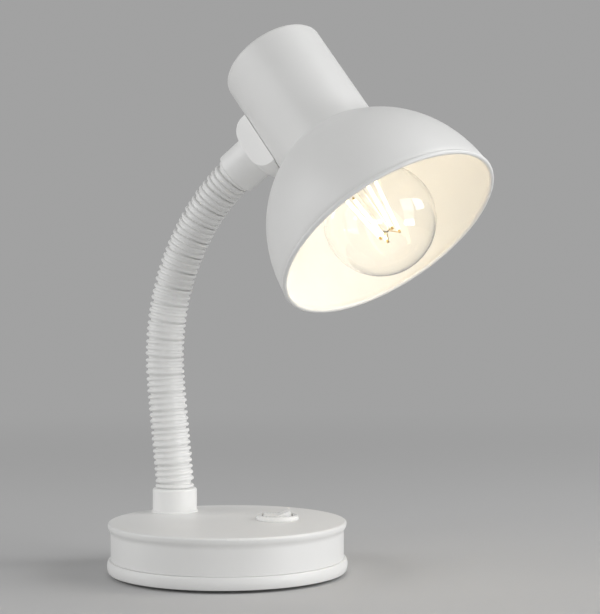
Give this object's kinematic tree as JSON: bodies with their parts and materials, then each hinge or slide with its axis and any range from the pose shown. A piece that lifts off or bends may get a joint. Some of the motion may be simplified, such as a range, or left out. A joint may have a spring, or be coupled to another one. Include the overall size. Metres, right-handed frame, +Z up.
{
  "type": "gooseneck desk lamp",
  "caption": "White gooseneck desk lamp: round weighted base with a rocker switch, ribbed bendable neck, bell shade and a clear globe-ended filament bulb.",
  "frame": {"origin": "centre of the round base's underside, where its axis meets the table", "axes": "+Z up; +X to the right and +Y away from the viewer, with the neck rising at the back left and the shade reaching over to the front right"},
  "size_m": [0.2081, 0.154, 0.2984],
  "materials": {
    "white_paint": "satin",
    "white_plastic": "satin",
    "cast_iron": "matte",
    "zinc_steel": "satin",
    "rubber": "matte",
    "brass": "satin",
    "bulb_cap": "satin",
    "bulb_insulator": "gloss",
    "clear_glass": "gloss",
    "filament": "gloss"
  },
  "bodies": {
    "base": {"base_shell": "white_paint", "base_tray": "white_paint", "ballast": "cast_iron", "tray_screws": "zinc_steel", "ballast_screw": "zinc_steel", "foot_pad": "rubber", "cord_gland": "white_plastic", "gland_nut": "white_plastic", "switch_body": "white_plastic", "switch_terminals": "brass", "lower_collar": "white_paint", "foot_stud": "zinc_steel", "foot_washer": "zinc_steel", "foot_nut": "zinc_steel", "neck_foot": "white_paint"},
    "rocker": {"switch_rocker": "white_plastic"},
    "link_1": {"neck_link_1": "white_paint"},
    "link_2": {"neck_link_2": "white_paint"},
    "link_3": {"neck_link_3": "white_paint"},
    "link_4": {"neck_link_4": "white_paint"},
    "link_5": {"neck_link_5": "white_paint"},
    "link_6": {"neck_link_6": "white_paint"},
    "link_7": {"neck_link_7": "white_paint"},
    "link_8": {"neck_link_8": "white_paint"},
    "link_9": {"neck_link_9": "white_paint"},
    "link_10": {"neck_link_10": "white_paint"},
    "link_11": {"neck_link_11": "white_paint"},
    "link_12": {"neck_link_12": "white_paint"},
    "link_13": {"neck_link_13": "white_paint"},
    "link_14": {"neck_link_14": "white_paint"},
    "link_15": {"neck_link_15": "white_paint"},
    "link_16": {"neck_link_16": "white_paint"},
    "link_17": {"neck_link_17": "white_paint"},
    "link_18": {"neck_link_18": "white_paint"},
    "head": {"neck_tip": "white_paint", "knuckle": "white_paint", "head_nipple": "zinc_steel", "head_washer": "zinc_steel", "head_nut": "zinc_steel", "shade": "white_paint", "holder_bracket": "zinc_steel", "holder_stub": "zinc_steel", "holder_nut": "zinc_steel", "holder_cap": "white_plastic", "holder_body": "white_plastic", "holder_sleeve": "brass", "holder_contact": "brass", "bulb_glass": "clear_glass", "bulb_cap": "bulb_cap", "bulb_insulator": "bulb_insulator", "bulb_tip": "brass", "bulb_stem": "clear_glass", "bulb_filaments": "filament", "bulb_supports": "brass"}
  },
  "joints": [
    {"name": "neck_side_1", "type": "hinge", "parent": "base", "child": "link_1", "pos_m": [-0.03115, 0.03847, 0.04663], "axis": [0.9229, -0.3729, 0.0958], "range_deg": [-3.12, 3.12]},
    {"name": "neck_bend_2", "type": "hinge", "parent": "link_1", "child": "link_2", "pos_m": [-0.03205, 0.03883, 0.05672], "axis": [0.3746, 0.9272, 0], "range_deg": [-6.5, 2.8]},
    {"name": "neck_side_3", "type": "hinge", "parent": "link_2", "child": "link_3", "pos_m": [-0.03295, 0.0392, 0.06682], "axis": [0.9229, -0.3729, 0.0958], "range_deg": [-4.8, 4.8]},
    {"name": "neck_bend_4", "type": "hinge", "parent": "link_3", "child": "link_4", "pos_m": [-0.03386, 0.03956, 0.07691], "axis": [0.3746, 0.9272, 0], "range_deg": [-6.5, 2.8]},
    {"name": "neck_side_5", "type": "hinge", "parent": "link_4", "child": "link_5", "pos_m": [-0.03476, 0.03993, 0.087], "axis": [0.9229, -0.3729, 0.0958], "range_deg": [-4.8, 4.8]},
    {"name": "neck_bend_6", "type": "hinge", "parent": "link_5", "child": "link_6", "pos_m": [-0.03566, 0.04029, 0.0971], "axis": [0.3746, 0.9272, 0], "range_deg": [-6.5, 2.8]},
    {"name": "neck_side_7", "type": "hinge", "parent": "link_6", "child": "link_7", "pos_m": [-0.03638, 0.04058, 0.10721], "axis": [0.9271, -0.3746, 0.0166], "range_deg": [-4.8, 4.8]},
    {"name": "neck_bend_8", "type": "hinge", "parent": "link_7", "child": "link_8", "pos_m": [-0.03653, 0.04064, 0.11735], "axis": [0.3746, 0.9272, 0], "range_deg": [-6.5, 2.8]},
    {"name": "neck_side_9", "type": "hinge", "parent": "link_8", "child": "link_9", "pos_m": [-0.03608, 0.04046, 0.12747], "axis": [0.9209, -0.3721, -0.116], "range_deg": [-4.8, 4.8]},
    {"name": "neck_bend_10", "type": "hinge", "parent": "link_9", "child": "link_10", "pos_m": [-0.03499, 0.04002, 0.13755], "axis": [0.3746, 0.9272, 0], "range_deg": [-10.5, 2.1]},
    {"name": "neck_side_11", "type": "hinge", "parent": "link_10", "child": "link_11", "pos_m": [-0.03325, 0.03932, 0.14751], "axis": [0.8966, -0.3622, -0.2549], "range_deg": [-4.8, 4.8]},
    {"name": "neck_bend_12", "type": "hinge", "parent": "link_11", "child": "link_12", "pos_m": [-0.03085, 0.03835, 0.15732], "axis": [0.3746, 0.9272, 0], "range_deg": [-10.5, 2.1]},
    {"name": "neck_side_13", "type": "hinge", "parent": "link_12", "child": "link_13", "pos_m": [-0.0278, 0.03711, 0.16691], "axis": [0.8523, -0.3443, -0.3938], "range_deg": [-4.8, 4.8]},
    {"name": "neck_bend_14", "type": "hinge", "parent": "link_13", "child": "link_14", "pos_m": [-0.02409, 0.03562, 0.17623], "axis": [0.3746, 0.9272, 0], "range_deg": [-10.5, 2.1]},
    {"name": "neck_side_15", "type": "hinge", "parent": "link_14", "child": "link_15", "pos_m": [-0.01976, 0.03386, 0.18522], "axis": [0.7876, -0.3182, -0.5276], "range_deg": [-4.8, 4.8]},
    {"name": "neck_bend_16", "type": "hinge", "parent": "link_15", "child": "link_16", "pos_m": [-0.0148, 0.03186, 0.19384], "axis": [0.3746, 0.9272, 0], "range_deg": [-10.5, 2.1]},
    {"name": "neck_side_17", "type": "hinge", "parent": "link_16", "child": "link_17", "pos_m": [-0.00924, 0.02961, 0.20201], "axis": [0.7031, -0.2841, -0.6519], "range_deg": [-4.8, 4.8]},
    {"name": "neck_bend_18", "type": "hinge", "parent": "link_17", "child": "link_18", "pos_m": [-0.00311, 0.02714, 0.2097], "axis": [0.3746, 0.9272, 0], "range_deg": [-10.5, 2.1]},
    {"name": "neck_side_19", "type": "hinge", "parent": "link_18", "child": "head", "pos_m": [0.00356, 0.02445, 0.21685], "axis": [0.5835, -0.2357, -0.7771], "range_deg": [-3.12, 3.12]},
    {"name": "switch_rock", "type": "hinge", "parent": "base", "child": "rocker", "pos_m": [0.02713, 0.00381, 0.02947], "axis": [0, 1, 0], "range_deg": [0, 20]}
  ],
  "couplings": [
    {"joint": "neck_side_1", "follows": "neck_side_3", "ratio": 0.65},
    {"joint": "neck_bend_4", "follows": "neck_bend_2", "ratio": 1},
    {"joint": "neck_side_5", "follows": "neck_side_3", "ratio": 1},
    {"joint": "neck_bend_6", "follows": "neck_bend_2", "ratio": 1},
    {"joint": "neck_side_7", "follows": "neck_side_3", "ratio": 1},
    {"joint": "neck_bend_8", "follows": "neck_bend_2", "ratio": 1},
    {"joint": "neck_side_9", "follows": "neck_side_3", "ratio": 1},
    {"joint": "neck_bend_12", "follows": "neck_bend_10", "ratio": 1},
    {"joint": "neck_side_13", "follows": "neck_side_11", "ratio": 1},
    {"joint": "neck_bend_14", "follows": "neck_bend_10", "ratio": 1},
    {"joint": "neck_side_15", "follows": "neck_side_11", "ratio": 1},
    {"joint": "neck_bend_16", "follows": "neck_bend_10", "ratio": 1},
    {"joint": "neck_side_17", "follows": "neck_side_11", "ratio": 1},
    {"joint": "neck_bend_18", "follows": "neck_bend_10", "ratio": 1},
    {"joint": "neck_side_19", "follows": "neck_side_11", "ratio": 0.65}
  ]
}
